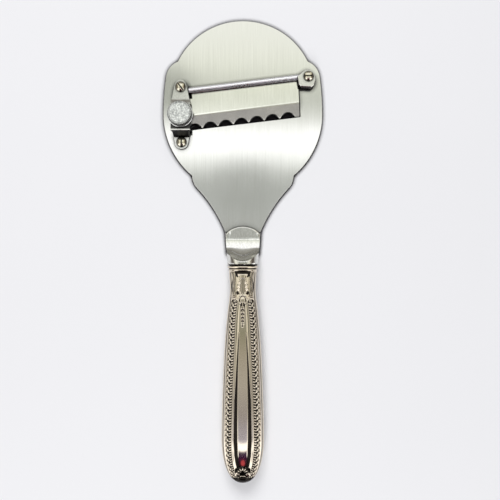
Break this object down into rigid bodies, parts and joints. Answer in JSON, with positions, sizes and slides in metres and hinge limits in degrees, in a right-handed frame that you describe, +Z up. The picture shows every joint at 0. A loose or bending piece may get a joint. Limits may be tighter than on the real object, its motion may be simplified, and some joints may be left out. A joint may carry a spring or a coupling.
{
  "type": "truffle slicer",
  "caption": "Truffle slicer: a lobed steel plate with a skewed scalloped blade that a knurled knob tilts through its window, on an ornate silver-plated handle.",
  "frame": {"origin": "under the middle of the whole length and width, on the smooth sliding face", "axes": "+X to the right seen from the knob's side, +Y from the handle to the head, +Z up from the sliding face to the knob"},
  "size_m": [0.0894, 0.2574, 0.014],
  "materials": {
    "plate_steel": "brushed stainless sheet, grain along the tool",
    "blade_steel": "ground stainless blade steel",
    "bright_steel": "turned and milled bright steel",
    "screw_steel": "nickel-plated steel",
    "knob_steel": "nickel-plated, turned and knurled",
    "silver_plate": "silver-plated, burnished, dark in the recesses",
    "cement": "cast resin cement"
  },
  "bodies": {
    "frame": {"head_plate": "plate_steel", "rod_block_right": "bright_steel", "rod_block_left": "bright_steel", "block_screw": "screw_steel", "bridge_bracket": "bright_steel", "bridge_screw_upper": "screw_steel", "bridge_screw_lower": "screw_steel", "knob_washer": "screw_steel", "compression_spring": "screw_steel", "neck_bolster": "plate_steel", "handle_collar": "silver_plate", "handle_shell_front": "silver_plate", "handle_shell_back": "silver_plate", "handle_core": "cement"},
    "blade_set": {"blade": "blade_steel", "pivot_rod": "bright_steel"},
    "knob": {"thumb_knob": "knob_steel", "knob_cap": "knob_steel"},
    "stud": {"adjusting_stud": "screw_steel"}
  },
  "joints": [
    {"name": "knob_turn", "type": "hinge", "parent": "frame", "child": "knob", "pos_m": [-0.03439, 0.0745, 0.0096], "axis": [0, 0, 1], "range_deg": [0, 874.4]},
    {"name": "stud_travel", "type": "slide", "parent": "frame", "child": "stud", "axis": [0, 0, -1], "range_m": [0, 0.0017], "deforming": ["compression_spring"]},
    {"name": "blade_tilt", "type": "hinge", "parent": "frame", "child": "blade_set", "pos_m": [0, 0.0925, 0.00405], "axis": [0.9928, 0.1201, 0], "range_deg": [0, 7.1]}
  ],
  "couplings": [
    {"joint": "knob_turn", "follows": "stud_travel", "rad_per_m": 8976},
    {"joint": "blade_tilt", "follows": "stud_travel", "rad_per_m": 72.78}
  ]
}
